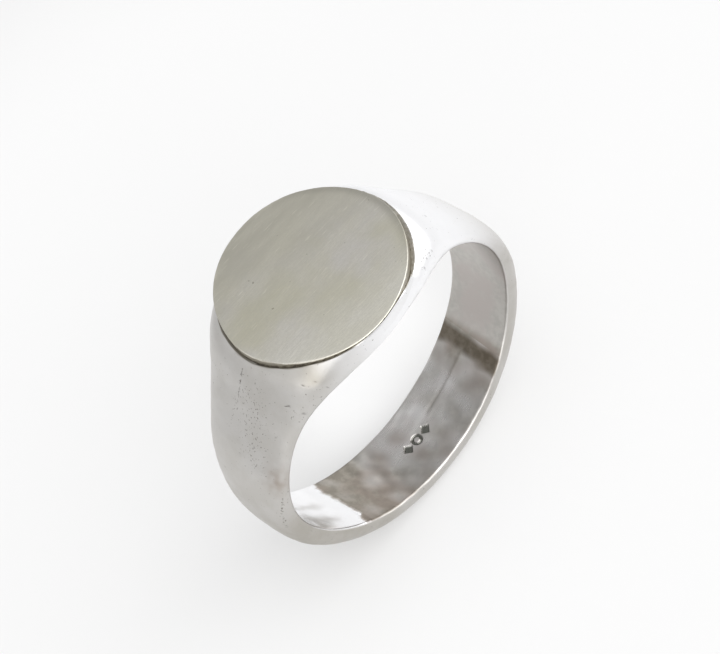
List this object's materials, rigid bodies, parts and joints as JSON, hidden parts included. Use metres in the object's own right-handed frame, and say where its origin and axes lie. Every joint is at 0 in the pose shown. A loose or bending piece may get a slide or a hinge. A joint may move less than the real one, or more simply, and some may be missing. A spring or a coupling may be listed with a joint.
{
  "type": "signet ring",
  "caption": "Finger ring with convex shoulders tapering from a flat, nearly round seal plate of warmer metal to a slim soldered band.",
  "frame": {"origin": "centre of the finger bore, halfway along its axis", "axes": "+Z out of the seal face, Y along the finger bore, X across the shoulders"},
  "size_m": [0.0212, 0.011, 0.0216],
  "materials": {
    "cast_silver": "satin",
    "band_silver": "satin",
    "seal_metal": "satin",
    "solder": "matte"
  },
  "bodies": {
    "root": {"signet_head": "cast_silver", "shank": "band_silver", "shank_solder_right": "solder", "shank_solder_left": "solder", "face_solder": "solder", "face_plate": "seal_metal"}
  },
  "joints": []
}
